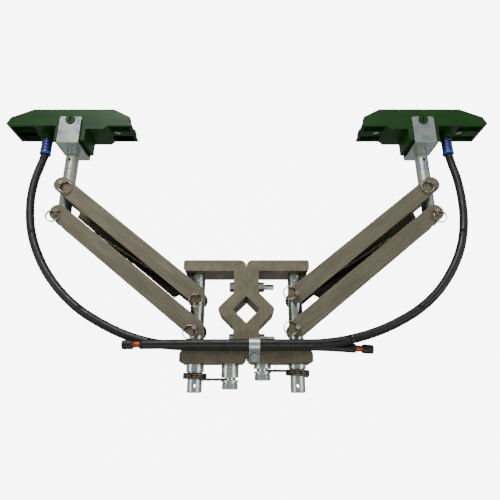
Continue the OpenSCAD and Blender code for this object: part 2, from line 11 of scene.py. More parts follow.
import bmesh
import bpy
import numpy as np
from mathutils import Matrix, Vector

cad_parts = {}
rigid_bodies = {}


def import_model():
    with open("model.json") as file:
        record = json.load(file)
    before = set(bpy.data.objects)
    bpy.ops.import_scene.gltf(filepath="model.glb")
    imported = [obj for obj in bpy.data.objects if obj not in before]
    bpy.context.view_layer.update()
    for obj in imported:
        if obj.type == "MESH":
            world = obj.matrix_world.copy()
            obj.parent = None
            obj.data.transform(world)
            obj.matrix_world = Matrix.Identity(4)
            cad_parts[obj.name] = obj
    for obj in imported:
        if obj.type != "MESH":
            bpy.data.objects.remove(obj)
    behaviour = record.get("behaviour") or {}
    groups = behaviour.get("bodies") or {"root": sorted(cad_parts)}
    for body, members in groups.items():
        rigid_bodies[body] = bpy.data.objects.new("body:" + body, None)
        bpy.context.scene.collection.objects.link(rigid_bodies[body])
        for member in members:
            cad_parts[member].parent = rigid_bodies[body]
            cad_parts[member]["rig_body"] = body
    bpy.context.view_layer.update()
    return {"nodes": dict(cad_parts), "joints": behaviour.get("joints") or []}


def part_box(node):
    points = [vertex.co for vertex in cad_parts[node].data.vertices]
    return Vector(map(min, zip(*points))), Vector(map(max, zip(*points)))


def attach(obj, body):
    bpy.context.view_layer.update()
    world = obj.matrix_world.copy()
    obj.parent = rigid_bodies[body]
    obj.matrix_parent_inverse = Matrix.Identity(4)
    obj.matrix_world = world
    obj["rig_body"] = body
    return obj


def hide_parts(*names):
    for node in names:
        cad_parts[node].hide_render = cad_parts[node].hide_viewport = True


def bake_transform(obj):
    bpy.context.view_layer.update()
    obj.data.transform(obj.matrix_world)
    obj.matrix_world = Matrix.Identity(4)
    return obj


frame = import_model()

bl_info = {
    "name": "Current collector",
    "version": (1, 0, 0),
    "blender": (4, 5, 0),
    "location": "3D View > Sidebar > Collector",
    "description": "Builds a tandem current collector's finished pieces round its CAD frame",
    "category": "Add Mesh",
}

MM = 0.001
LEFT, RIGHT = "left", "right"
SIGN = {LEFT: -1, RIGHT: 1}
JOINTS = {j["name"]: j for j in frame["joints"]}
Y_AXIS = np.array([0.0, 1.0, 0.0])
Z_AXIS = np.array([0.0, 0.0, 1.0])

# The cables' routes, from a head's boot to the bare end, in millimetres as the CAD has them.
LEFT_ROUTE = [
    (-328, 0, 238), (-332, -2, 212), (-332, -5, 180), (-327, -8, 147), (-318, -11, 116),
    (-304, -14, 86), (-285, -17, 56), (-259, -20, 26), (-228, -23, 0), (-194, -26, -20),
    (-161, -28, -35), (-127, -30, -45), (-98, -31.5, -49), (-70, -31.5, -50),
    (-40, -31.5, -50), (-10, -31.5, -50), (11, -31.5, -50),
    (40, -31.5, -50), (75, -31.5, -50), (110, -31.5, -51), (143, -31.5, -53),
]
RIGHT_ROUTE = [
    (327, 0, 238), (330, -3, 210), (330, -6, 178), (327, -9, 147), (320, -13, 117),
    (308, -17, 86), (289, -21, 54), (264, -26, 24), (235, -31, 0), (204, -36, -18),
    (172, -40, -32), (134, -43, -43), (98, -44, -48), (70, -44, -48.5),
    (40, -44, -48.5), (11, -44, -48.5),
    (-20, -44, -48.5), (-55, -44, -48.5), (-95, -44, -49), (-136, -44, -49.5),
]
ROUTES = {LEFT: LEFT_ROUTE, RIGHT: RIGHT_ROUTE}
CABLE_ENDS = (0, 5, 9, 12)  # points of a route where one length of cable ends and the next starts
ROUTE_STEPS = 8  # rings of a cable from one route point to the next
CABLE_SIDES = 24

# Sizes that the springs, the boots, the strands and the slugs share with the CAD.
LIFT_SHANK = 24 * MM
HOOK_R = 4.2 * MM
LEG_Y = 8.2 * MM
BOOT_RIM = 4.0 * MM
BARE = 9 * MM
BARE_R = 4.25 * MM
SLUG = 14 * MM


def joint_point(name):
    """A joint's place in the frame."""
    return np.array(JOINTS[name]["pos_m"], float)


def box(node):
    """A CAD node's lowest and highest corners as arrays."""
    low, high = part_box(node)
    return np.array(low), np.array(high)


def body_of(node):
    return frame["nodes"][node]["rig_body"]


# ---- settings -------------------------------------------------------------------------------


def linear(hex_colour):
    """Turns an sRGB hex colour into linear red, green, blue and alpha."""
    srgb = np.array([int(hex_colour[i : i + 2], 16) for i in (1, 3, 5)]) / 255
    low, high = srgb / 12.92, ((srgb + 0.055) / 1.055) ** 2.4
    return (*np.where(srgb <= 0.04045, low, high).tolist(), 1.0)


def colour_property(name, hex_colour, description):
    return bpy.props.FloatVectorProperty(
        name=name,
        description=description,
        subtype="COLOR",
        size=4,
        min=0,
        max=1,
        default=linear(hex_colour),
    )


def length_property(name, millimetres, description):
    return bpy.props.FloatProperty(
        name=name,
        description=description,
        subtype="DISTANCE",
        unit="LENGTH",
        min=0,
        default=millimetres * MM,
    )


class CollectorSizes(bpy.types.PropertyGroup):
    lift_wire: length_property("Lift spring wire", 1.6, "Wire of the springs between the arms")
    lift_coil: length_property("Lift spring size", 8.4, "Outside diameter of a lift spring")
    lift_pitch: length_property("Lift spring pitch", 2.6, "Distance from coil to coil")
    centring_wire: length_property(
        "Centring spring wire", 3.6, "Wire of the springs under the clamp"
    )
    ring_wire: length_property("Split ring wire", 1.5, "Wire of the split rings on the pins")
    cable: length_property("Cable", 12.0, "Outside diameter of a cable")
    strand: length_property("Copper strand", 1.1, "Diameter of one bare strand")
    edge: length_property("Edge rounding", 0.5, "Rounding of a machined edge")
    moulded_edge: length_property("Moulded rounding", 1.6, "Rounding of the moulded heads' edges")


class CollectorColours(bpy.types.PropertyGroup):
    clamp: colour_property("Clamp", "#79735f", "Weathered extruded aluminium")
    arms: colour_property("Arms", "#797360", "Weathered pressed aluminium")
    zinc: colour_property("Zinc", "#b4beb7", "Zinc plate on posts and brackets")
    wire: colour_property("Spring wire", "#5c574c", "Oiled spring wire")
    heads: colour_property("Heads", "#103a0a", "Moulded plastic of the heads")
    boots: colour_property("Boots", "#0b1c5c", "Moulded rubber of the boots")
    jacket: colour_property("Cable jacket", "#080807", "Cable jacket")
    copper: colour_property("Copper", "#c0603c", "Bare copper strands")


def sizes():
    return bpy.context.scene.collector_sizes


def colours():
    return bpy.context.scene.collector_colours


# ---- materials ------------------------------------------------------------------------------


def add(tree, kind, links=None, **settings):
    """Adds a node, sets its properties and sockets, and links sockets to it. A setting's name is a
    property of the node, or else an input's name with underscores for spaces."""
    made = tree.nodes.new(kind)
    for name, value in settings.items():
        if hasattr(made, name):
            setattr(made, name, value)
        else:
            made.inputs[name.replace("_", " ")].default_value = value
    for name, output in (links or {}).items():
        tree.links.new(output, made.inputs[name])
    return made


def surface(name, **settings):
    """A new material: its tree, its Principled shader and Object coordinates."""
    made = bpy.data.materials.new(name)
    made.use_nodes = True
    tree = made.node_tree
    shader = tree.nodes["Principled BSDF"]
    for key, value in settings.items():
        shader.inputs[key.replace("_", " ")].default_value = value
    place = add(tree, "ShaderNodeTexCoord").outputs["Object"]
    return made, tree, shader, place


def stretched(tree, place, scale, turn=0.0):
    """Coordinates turned about Y and scaled, so that a pattern can run along a part."""
    return add(
        tree, "ShaderNodeMapping", {"Vector": place}, vector_type="TEXTURE",
        Rotation=(0.0, -turn, 0.0), Scale=tuple(1 / s for s in scale),
    ).outputs["Vector"]


def noise(tree, place, scale, detail=3.0, roughness=0.5):
    """Cloudy noise, whose widest blotches are 1 / scale metres across."""
    return add(
        tree, "ShaderNodeTexNoise", {"Vector": place},
        Scale=scale, Detail=detail, Roughness=roughness,
    ).outputs["Fac"]


def ramp(tree, factor, stops):
    """Colours or greys along a factor. stops are (position, linear colour)."""
    made = add(tree, "ShaderNodeValToRGB", {"Fac": factor})
    elements = made.color_ramp.elements
    while len(elements) < len(stops):
        elements.new(0.5)
    for element, (position, colour) in zip(elements, stops):
        element.position = position
        element.color = colour
    return made.outputs["Color"]


def grey(value):
    return (value, value, value, 1.0)


def shade(colour, factor):
    """A linear colour made lighter or darker."""
    return (*(min(1.0, c * factor) for c in colour[:3]), 1.0)


def greys(tree, factor, *stops):
    """A ramp of greys. stops are (position, value)."""
    return ramp(tree, factor, [(position, grey(value)) for position, value in stops])


def shades(tree, factor, base, *stops):
    """A ramp of one colour, made lighter or darker. stops are (position, factor of the colour)."""
    return ramp(tree, factor, [(position, shade(base, value)) for position, value in stops])


def mix(tree, factor, first, second):
    made = add(tree, "ShaderNodeMix", {"Factor": factor}, data_type="RGBA")
    for socket, value in ((made.inputs[6], first), (made.inputs[7], second)):
        if isinstance(value, bpy.types.NodeSocket):
            tree.links.new(value, socket)
        else:
            socket.default_value = value
    return made.outputs[2]


def bump(tree, shader, height, strength, depth):
    """A relief of the given depth in metres."""
    made = add(tree, "ShaderNodeBump", {"Height": height}, Strength=strength, Distance=depth)
    tree.links.new(made.outputs["Normal"], shader.inputs["Normal"])


def extruded_aluminium():
    """Extruded 6000-series aluminium, sawn to length and long in the weather: the oxide is dull,
    olive and blotched every 14 mm or so, and the saw leaves fine upright lines about 0.8 mm
    apart."""
    base = colours().clamp
    made, tree, shader, place = surface("extruded_aluminium", Metallic=0.55)
    blotch = noise(tree, place, 70.0, 5.0, 0.65)
    saw = noise(tree, stretched(tree, place, (1200.0, 60.0, 90.0)), 1.0, 2.0)
    body = shades(tree, blotch, base, (0.3, 0.62), (0.55, 0.95), (0.75, 1.25))
    lines = greys(tree, saw, (0.4, 0.0), (0.7, 0.45))
    colour = mix(tree, lines, body, shade(base, 0.55))
    tree.links.new(colour, shader.inputs["Base Color"])
    dullness = greys(tree, blotch, (0.3, 0.62), (0.8, 0.42))
    tree.links.new(dullness, shader.inputs["Roughness"])
    bump(tree, shader, saw, 0.35, 0.15 * MM)
    return made


def pressed_aluminium(side):
    """Rolled aluminium sheet pressed into a channel and brushed along its length: streaks about
    1.4 mm apart and 45 mm long run along the arm, over brown oxide."""
    base = colours().arms
    made, tree, shader, place = surface(f"pressed_aluminium_{side}", Metallic=0.55)
    along = joint_point(f"head_level_{side}") - joint_point(f"lift_{side}")
    turn = math.atan2(along[2], along[0])
    grain = noise(tree, stretched(tree, place, (22.0, 700.0, 700.0), turn), 1.0, 4.0, 0.6)
    blotch = noise(tree, stretched(tree, place, (14.0, 60.0, 60.0), turn), 1.0, 4.0, 0.6)
    body = shades(tree, blotch, base, (0.3, 0.66), (0.55, 0.95), (0.75, 1.2))
    streaks = greys(tree, grain, (0.38, 0.75), (0.62, 0.0))
    colour = mix(tree, streaks, body, shade(base, 0.5))
    tree.links.new(colour, shader.inputs["Base Color"])
    dullness = greys(tree, grain, (0.3, 0.58), (0.8, 0.4))
    tree.links.new(dullness, shader.inputs["Roughness"])
    bump(tree, shader, grain, 0.4, 0.12 * MM)
    return made


def zinc_plate(name="zinc_plate", lightness=1.0, roughness=0.3):
    """Bright zinc plate on steel: pale, faintly green, with bluish and straw clouds from the
    passivation about 15 mm across and small dull spots."""
    base = shade(colours().zinc, lightness)
    made, tree, shader, place = surface(name, Metallic=0.9)
    cloud = noise(tree, place, 65.0, 3.0, 0.55)
    spots = noise(tree, place, 420.0, 2.0)
    straw, blue = linear("#b5b39c"), linear("#a2b2bb")
    body = ramp(
        tree, cloud, [(0.32, shade(blue, lightness)), (0.5, base), (0.7, shade(straw, lightness))]
    )
    dull_spots = greys(tree, spots, (0.6, 0.0), (0.75, 0.5))
    colour = mix(tree, dull_spots, body, shade(base, 0.5))
    tree.links.new(colour, shader.inputs["Base Color"])
    dullness = greys(tree, cloud, (0.3, roughness * 0.75), (0.7, roughness * 1.35))
    tree.links.new(dullness, shader.inputs["Roughness"])
    bump(tree, shader, spots, 0.15, 0.08 * MM)
    return made


def drawn_wire(name, base, roughness=0.35):
    """Drawn steel wire or rod with a film of oil: a tight highlight and small worn spots."""
    made, tree, shader, place = surface(name, Metallic=0.95, Roughness=roughness)
    worn = noise(tree, place, 260.0, 3.0)
    colour = ramp(tree, worn, [(0.35, shade(base, 0.55)), (0.55, base), (0.75, shade(base, 1.7))])
    tree.links.new(colour, shader.inputs["Base Color"])
    bump(tree, shader, worn, 0.1, 0.05 * MM)
    return made


def moulded_plastic():
    """Glass-filled nylon, moulded in dark green: an even colour with faint flow marks, a 0.5 mm
    spark texture, and lighter scuffs where it has been handled."""
    base = colours().heads
    made, tree, shader, place = surface("moulded_green_plastic", Specular_IOR_Level=0.25)
    flow = noise(tree, stretched(tree, place, (18.0, 60.0, 60.0)), 1.0, 3.0, 0.6)
    grain = noise(tree, place, 2000.0, 2.0)
    scuff = noise(tree, stretched(tree, place, (60.0, 160.0, 260.0)), 1.0, 6.0, 0.7)
    body = shades(tree, flow, base, (0.3, 0.7), (0.7, 1.2))
    scuffs = greys(tree, scuff, (0.62, 0.0), (0.8, 0.4))
    colour = mix(tree, scuffs, body, linear("#2f5524"))
    tree.links.new(colour, shader.inputs["Base Color"])
    dullness = greys(tree, flow, (0.3, 0.5), (0.7, 0.38))
    tree.links.new(dullness, shader.inputs["Roughness"])
    bump(tree, shader, grain, 0.25, 0.12 * MM)
    return made


def moulded_rubber(rim_height):
    """Moulded rubber boot: navy, paler round the rim, with a soft sheen and handling dust."""
    base = colours().boots
    made, tree, shader, place = surface("moulded_blue_rubber", Roughness=0.42)
    height = add(tree, "ShaderNodeSeparateXYZ", {"Vector": place}).outputs["Z"]
    up = add(
        tree, "ShaderNodeMapRange", {"Value": height},
        From_Min=rim_height - 0.5 * MM, From_Max=rim_height + 0.5 * MM,
    ).outputs["Result"]
    dust = noise(tree, place, 300.0, 4.0)
    rim = mix(tree, dust, linear("#123a92"), linear("#1f4fb0"))
    colour = mix(tree, up, rim, mix(tree, dust, shade(base, 0.8), shade(base, 1.25)))
    tree.links.new(colour, shader.inputs["Base Color"])
    bump(tree, shader, dust, 0.15, 0.1 * MM)
    return made


def cable_jacket():
    """Extruded PVC jacket: black, with die lines along it from the UV map and a haze of dust."""
    base = colours().jacket
    made, tree, shader, place = surface("extruded_black_pvc", Specular_IOR_Level=0.4)
    along = add(tree, "ShaderNodeUVMap", uv_map="length").outputs["UV"]
    drawn = add(tree, "ShaderNodeMapping", {"Vector": along}, Scale=(2.0, 900.0, 1.0))
    lines = noise(tree, drawn.outputs["Vector"], 1.0, 2.0)
    dust = noise(tree, place, 120.0, 5.0, 0.65)
    colour = shades(tree, dust, base, (0.4, 0.8), (0.7, 2.6))
    tree.links.new(colour, shader.inputs["Base Color"])
    dullness = greys(tree, dust, (0.35, 0.38), (0.7, 0.6))
    tree.links.new(dullness, shader.inputs["Roughness"])
    bump(tree, shader, lines, 0.3, 0.12 * MM)
    return made


def bare_copper():
    """Bright drawn copper that has begun to tarnish."""
    base = colours().copper
    made, tree, shader, place = surface("drawn_copper", Metallic=0.9, Roughness=0.38)
    tarnish = noise(tree, place, 500.0, 3.0)
    colour = ramp(tree, tarnish, [(0.35, shade(base, 0.6)), (0.6, base), (0.8, shade(base, 1.3))])
    tree.links.new(colour, shader.inputs["Base Color"])
    return made


def sintered(name, dark, light, metallic, roughness):
    """A fine speckle about 0.7 mm across, for sintered metal powder and for plain nylon."""
    made, tree, shader, place = surface(name, Metallic=metallic, Roughness=roughness)
    grains = noise(tree, place, 1500.0, 3.0, 0.6)
    colour = ramp(tree, grains, [(0.35, linear(dark)), (0.65, linear(light))])
    tree.links.new(colour, shader.inputs["Base Color"])
    bump(tree, shader, grains, 0.2, 0.1 * MM)
    return made


def matt_paper():
    """Pale matt paper that glows, so that it stays white behind the part."""
    made, tree, shader, place = surface("matt_paper", Roughness=0.95)
    fibre = noise(tree, place, 6.0, 2.0)
    colour = greys(tree, fibre, (0.3, 0.88), (0.7, 0.92))
    tree.links.new(colour, shader.inputs["Base Color"])
    shader.inputs["Emission Color"].default_value = grey(1.0)
    shader.inputs["Emission Strength"].default_value = 7.0
    return made


MATERIALS = {}


def material(name):
    """A finish by its name. The first call makes them all."""
    if not MATERIALS:
        make_materials()
    return MATERIALS[name]


def make_materials():
    rim_height = box("cable_boot_left")[0][2] + BOOT_RIM
    MATERIALS.update({
        "bracket_aluminium": extruded_aluminium(),
        "arm_aluminium_left": pressed_aluminium(LEFT),
        "arm_aluminium_right": pressed_aluminium(RIGHT),
        "zinc_steel": zinc_plate(),
        "bright_zinc": zinc_plate("bright_zinc_plate", 1.15, 0.22),
        "strap_steel": zinc_plate("galvanised_strip", 0.95, 0.42),
        "pin_steel": drawn_wire("yellowed_zinc", linear("#b5ad98"), 0.28),
        "ring_steel": drawn_wire("ring_wire", linear("#b0a68e"), 0.25),
        "spring_steel": drawn_wire("oiled_spring_wire", colours().wire),
        "bush_bronze": sintered("sintered_bronze", "#6e5228", "#a88246", 0.9, 0.4),
        "spacer_nylon": sintered("turned_nylon", "#b8b2a0", "#d6d1c2", 0.0, 0.5),
        "green_plastic": moulded_plastic(),
        "copper_graphite": sintered("copper_graphite", "#2b211c", "#8a5a3c", 0.7, 0.45),
        "boot_rubber": moulded_rubber(rim_height),
        "cable_jacket": cable_jacket(),
        "copper_strands": bare_copper(),
        "paper": matt_paper(),
    })


# ---- meshes ---------------------------------------------------------------------------------


def new_mesh(name, points, faces, finish, uv=None):
    """A smooth mesh object from an array of points and an array of faces. uv, if given, has one
    pair for each point."""
    mesh = bpy.data.meshes.new(name)
    mesh.from_pydata(np.asarray(points, float).tolist(), [], [list(map(int, f)) for f in faces])
    if uv is not None:
        corner = np.zeros(len(mesh.loops), np.int32)
        mesh.loops.foreach_get("vertex_index", corner)
        layer = mesh.uv_layers.new(name="length")
        layer.data.foreach_set("uv", np.asarray(uv, np.float32)[corner].ravel())
    mesh.shade_smooth()
    mesh.materials.append(material(finish))
    made = bpy.data.objects.new(name, mesh)
    bpy.context.scene.collection.objects.link(made)
    return made


def unit(vectors):
    return vectors / np.linalg.norm(vectors, axis=-1, keepdims=True)


def tube(path, radius, sides=12, reference=Y_AXIS):
    """Points and faces of a closed round tube. Each ring is a circle square to the path, counted
    from the direction that is square to both the path and a reference direction: ring i's point k
    is path i + radius * (a cos + b sin) of k / sides turns, and a fan closes each end."""
    path = np.asarray(path, float)
    radius = np.broadcast_to(np.asarray(radius, float), len(path))
    run = unit(np.gradient(path, axis=0))
    a = unit(np.cross(run, reference))
    b = np.cross(run, a)
    turn = 2 * np.pi * np.arange(sides) / sides
    spokes = np.cos(turn)[None, :, None] * a[:, None] + np.sin(turn)[None, :, None] * b[:, None]
    points = (path[:, None] + radius[:, None, None] * spokes).reshape(-1, 3)
    i, k = np.meshgrid(np.arange(len(path) - 1), np.arange(sides), indexing="ij")
    here, there, after = i * sides + k, (i + 1) * sides + k, (k + 1) % sides
    walls = np.stack([here, i * sides + after, (i + 1) * sides + after, there], -1).reshape(-1, 4)
    count = len(points)
    points = np.concatenate([points, path[:1], path[-1:]])
    k = np.arange(sides)
    first = np.stack([np.full(sides, count), (k + 1) % sides, k], -1)
    last_ring = (len(path) - 1) * sides
    last = np.stack([np.full(sides, count + 1), last_ring + k, last_ring + (k + 1) % sides], -1)
    return points, [*walls.tolist(), *first.tolist(), *last.tolist()]


def joined(parts):
    """Several (points, faces) as one."""
    points, faces, start = [], [], 0
    for some_points, some_faces in parts:
        points.append(some_points)
        faces += [[start + v for v in face] for face in some_faces]
        start += len(some_points)
    return np.concatenate(points), faces


def turned(profile, centre, sides=48):
    """Points and faces of a surface of revolution about an upright axis. profile is (radius,
    height) from the bottom to the top, and its ends lie on the axis. Point k of a ring is
    (radius cos, radius sin, height) of k / sides turns."""
    profile = np.asarray(profile, float)
    turn = 2 * np.pi * np.arange(sides) / sides
    middle = profile[1:-1]
    rings = np.stack([
        middle[:, :1] * np.cos(turn), middle[:, :1] * np.sin(turn),
        np.repeat(middle[:, 1:], sides, 1),
    ], -1).reshape(-1, 3)
    ends = np.array([[0, 0, profile[0, 1]], [0, 0, profile[-1, 1]]])
    i, k = np.meshgrid(np.arange(len(middle) - 1), np.arange(sides), indexing="ij")
    after = (k + 1) % sides
    walls = np.stack(
        [i * sides + k, i * sides + after, (i + 1) * sides + after, (i + 1) * sides + k], -1
    ).reshape(-1, 4)
    k, low, high = np.arange(sides), len(rings), len(rings) + 1
    top = (len(middle) - 1) * sides
    caps = [[low, (j + 1) % sides, j] for j in k]
    caps += [[high, top + j, top + (j + 1) % sides] for j in k]
    return np.concatenate([rings, ends]) + centre, [*walls.tolist(), *caps]


def smooth_path(points, steps=8):
    """An even Catmull-Rom curve through every point: from p1 to p2 it is 0.5 * (2 p1 + (p2 - p0) t
    + (2 p0 - 5 p1 + 4 p2 - p3) t^2 + (3 p1 - p0 - 3 p2 + p3) t^3)."""
    p = np.asarray(points, float)
    p = np.concatenate([2 * p[:1] - p[1:2], p, 2 * p[-1:] - p[-2:-1]])
    t = np.arange(steps)[None, :, None] / steps
    p0, p1, p2, p3 = (p[i : len(p) - 3 + i, None] for i in range(4))
    curve = 0.5 * (
        2 * p1 + (p2 - p0) * t + (2 * p0 - 5 * p1 + 4 * p2 - p3) * t**2
        + (3 * p1 - p0 - 3 * p2 + p3) * t**3
    )
    return np.concatenate([curve.reshape(-1, 3), p[-2:-1]])


def helix(start, end, radius, turns, steps=20, phase=0.0):
    """A wire's centre line, wound round the line from start to end with an even pitch, and that
    line's direction. At fraction t it is start + t * (end - start) + radius * (u cos + v sin) of
    turns * t turns, with this many steps to a turn."""
    start, end = np.asarray(start, float), np.asarray(end, float)
    t = np.linspace(0, 1, int(turns * steps) + 1)[:, None]
    along = unit(end - start)
    u = unit(np.cross(along, Y_AXIS if abs(along[1]) < 0.9 else Z_AXIS))
    v = np.cross(along, u)
    angle = 2 * np.pi * turns * t + phase
    return start + t * (end - start) + radius * (u * np.cos(angle) + v * np.sin(angle)), along


def finished(node, finish, edge, segments=2):
    """A copy of a CAD node in its place, with its flat faces merged and its edges rounded."""
    mesh = frame["nodes"][node].data.copy()
    mesh.name = f"{node}_finished"
    work = bmesh.new()
    work.from_mesh(mesh)
    bmesh.ops.remove_doubles(work, verts=work.verts, dist=1e-6)
    bmesh.ops.dissolve_limit(
        work, angle_limit=math.radians(0.8), verts=work.verts, edges=work.edges
    )
    work.to_mesh(mesh)
    work.free()
    mesh.materials.clear()
    mesh.materials.append(material(finish))
    mesh.shade_smooth()
    made = bpy.data.objects.new(mesh.name, mesh)
    bpy.context.scene.collection.objects.link(made)
    rounding = made.modifiers.new("edges", "BEVEL")
    rounding.width = edge
    rounding.segments = segments
    rounding.limit_method = "ANGLE"
    rounding.angle_limit = math.radians(32)
    rounding.miter_outer = "MITER_ARC"
    even = made.modifiers.new("normals", "WEIGHTED_NORMAL")
    even.keep_sharp = False
    return placed(made, node)


def placed(made, node, rides=True):
    """Puts a new piece in a CAD node's stead, on the node's body unless rides is false."""
    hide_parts(node)
    if rides:
        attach(made, body_of(node))
    return made


# ---- pieces ---------------------------------------------------------------------------------


class CollectorStage(bpy.types.Operator):
    """Make the floor, the backdrop, the lights and the camera"""

    bl_idname = "collector.stage"
    bl_label = "Stage"

    def execute(self, context):
        make_camera()
        make_backdrop()
        make_lights()
        return {"FINISHED"}


def make_camera():
    data = bpy.data.cameras.new("camera")
    data.sensor_width = 36.0
    data.lens = 31.33
    camera = bpy.data.objects.new("camera", data)
    camera.location = (0.0051, -0.6122, -0.1163)
    camera.rotation_euler = (math.radians(90 + 18.96), 0.0, 0.0)
    bpy.context.scene.collection.objects.link(camera)
    bpy.context.scene.camera = camera


def make_backdrop():
    """A pale sheet: flat floor in front, then a quarter circle up to an upright wall."""
    front, wall, floor, top, bend, half = -4.0, 1.5, -0.5, 3.5, 0.6, 4.0
    angle = np.linspace(0, np.pi / 2, 24)
    y = np.concatenate([[front], wall - bend + bend * np.sin(angle), [wall]])
    z = np.concatenate([[floor], floor + bend - bend * np.cos(angle), [top]])
    points = np.concatenate([
        np.stack([np.full_like(y, x), y, z], -1) for x in (-half, half)
    ])
    n = len(y)
    faces = [[i, n + i, n + i + 1, i + 1] for i in range(n - 1)]
    backdrop = new_mesh("backdrop", points, faces, "paper")
    backdrop.visible_diffuse = backdrop.visible_glossy = False  # it lights nothing


def area_light(name, place, target, size, watts):
    data = bpy.data.lights.new(name, "AREA")
    data.size = size
    data.energy = watts
    made = bpy.data.objects.new(name, data)
    made.location = place
    aim = np.asarray(target, float) - np.asarray(place, float)
    made.rotation_euler = (
        math.acos(max(-1.0, min(1.0, -aim[2] / np.linalg.norm(aim)))),
        0.0,
        math.atan2(aim[1], aim[0]) - math.pi / 2,
    )
    bpy.context.scene.collection.objects.link(made)


def make_lights():
    middle = (0, 0, 0.1)
    area_light("key", (-0.3, -1.1, 1.5), middle, size=0.7, watts=30.0)
    area_light("fill", (1.4, -1.0, 0.1), middle, size=0.9, watts=8.0)
    area_light("side", (-1.4, -0.8, 0.0), middle, size=0.7, watts=5.0)
    area_light("under", (0.0, -0.9, -1.1), (0, 0, 0.15), size=1.0, watts=9.0)
    world = bpy.data.worlds.new("white")
    world.use_nodes = True
    sky = world.node_tree.nodes["Background"]
    sky.inputs["Color"].default_value = grey(1.0)
    sky.inputs["Strength"].default_value = 0.42
    bpy.context.scene.world = world


class CollectorClamp(bpy.types.Operator):
    """Finish the clamp brackets, their fasteners, the bushes and the cable strap"""

    bl_idname = "collector.clamp"
    bl_label = "Clamp"

    def execute(self, context):
        edge = sizes().edge
        for side in SIGN:
            finished(f"clamp_bracket_{side}", "bracket_aluminium", 1.6 * edge, 3)
            finished(f"post_bushes_{side}", "bush_bronze", 0.5 * edge)
        finished("clamp_bolts", "bright_zinc", 1.2 * edge)
        finished("clamp_nuts", "bright_zinc", edge)
        finished("anchor_bolts", "bright_zinc", 1.6 * edge, 3)
        finished("anchor_washers", "bright_zinc", 0.6 * edge)
        finished("cable_strap", "strap_steel", 0.5 * edge)
        finished("strap_screw", "bright_zinc", 1.2 * edge, 3)
        return {"FINISHED"}


class CollectorLinks(bpy.types.Operator):
    """Finish the posts, arms, pins, sleeves and collars"""

    bl_idname = "collector.links"
    bl_label = "Posts and arms"

    def execute(self, context):
        edge = sizes().edge
        for side in SIGN:
            for name in ("base_post", "head_post"):
                finished(f"{name}_{side}", "zinc_steel", edge)
            finished(f"post_collars_{side}", "bright_zinc", edge)
            for name in ("upper_arm", "lower_arm"):
                finished(f"{name}_{side}", f"arm_aluminium_{side}", edge)
            for name in ("base_pins", "head_pins"):
                finished(f"{name}_{side}", "pin_steel", edge)
            for name in ("base_spacers", "head_spacers"):
                finished(f"{name}_{side}", "spacer_nylon", 0.5 * edge)
            finished(f"swivel_pin_{side}", "spring_steel", 0.5 * edge)
        return {"FINISHED"}


class CollectorRings(bpy.types.Operator):
    """Wind the split rings that hold the pins"""

    bl_idname = "collector.rings"
    bl_label = "Split rings"

    def execute(self, context):
        for side in SIGN:
            for name in ("base_rings", "head_rings"):
                split_rings(f"{name}_{side}")
        return {"FINISHED"}


def split_rings(node):
    """Two split rings, each a wire wound nearly twice round, one turn against the other."""
    wire = sizes().ring_wire
    turns = 1.85
    parts = []
    for low, high in solids_of(node):
        middle = (low + high) / 2
        radius = (high[0] - low[0]) / 2 - wire / 2
        reach = np.array([0, wire * 0.5 * turns, 0])
        path, along = helix(middle - reach, middle + reach, radius, turns, steps=56, phase=0.7)
        parts.append(tube(path, wire / 2, sides=10, reference=along))
    points, faces = joined(parts)
    placed(new_mesh(f"{node}_wound", points, faces, "ring_steel"), node)


def solids_of(node):
    """The lowest and highest corner of each separate solid of a CAD node, by walking its faces."""
    work = bmesh.new()
    work.from_mesh(frame["nodes"][node].data)
    bmesh.ops.remove_doubles(work, verts=work.verts, dist=1e-6)
    left, found = set(work.verts), []
    while left:
        group, edge = set(), [left.pop()]
        while edge:
            vertex = edge.pop()
            group.add(vertex)
            near = {e.other_vert(vertex) for e in vertex.link_edges} & left
            left -= near
            edge.extend(near)
        places = np.array([v.co[:] for v in group])
        found.append((places.min(0), places.max(0)))
    work.free()
    return sorted(found, key=lambda corners: corners[0][2])


class CollectorSprings(bpy.types.Operator):
    """Wind the lift springs between the arms and the centring springs under the clamp"""

    bl_idname = "collector.springs"
    bl_label = "Springs"

    def execute(self, context):
        for side in SIGN:
            lift_springs(side)
            centring_spring(side)
        return {"FINISHED"}


def lift_springs(side):
    """Two tension springs: close coils, and at each end a straight shank that runs into an open
    hook round the pin."""
    settings = sizes()
    wire, outer = settings.lift_wire, settings.lift_coil
    coil_r = (outer - wire) / 2
    start, end = joint_point(f"lift_{side}"), joint_point(f"head_level_{side}")
    end = end - Z_AXIS * (joint_point(f"lift_{side}")[2] - joint_point(f"lower_link_{side}")[2])
    along = unit(end - start)
    across = np.cross(Y_AXIS, along) * -SIGN[side]
    coil_start, coil_end = start + along * LIFT_SHANK, end - along * LIFT_SHANK
    low, high = box(f"lift_springs_{side}")
    reach_y = (high[1] - low[1]) / 2 - outer / 2
    parts, ends = [], []
    for y in (-reach_y, reach_y):
        first, last = coil_start + Y_AXIS * y, coil_end + Y_AXIS * y
        turns = np.linalg.norm(last - first) / settings.lift_pitch
        path, axis = helix(first, last, coil_r, turns, steps=18)
        parts.append(tube(path, wire / 2, sides=7, reference=axis))
        for pin, towards, into in ((start, along, parts), (end, -along, ends)):
            into.append(hook(pin + Y_AXIS * y, towards, across, coil_r, wire))
    coils = new_mesh(f"lift_springs_{side}_wound", *joined(parts), "spring_steel")
    placed(coils, f"lift_springs_{side}", rides=False)
    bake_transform(coils)
    hooks = new_mesh(f"spring_hooks_{side}_bent", *joined(ends), "spring_steel")
    placed(hooks, f"spring_hooks_{side}")


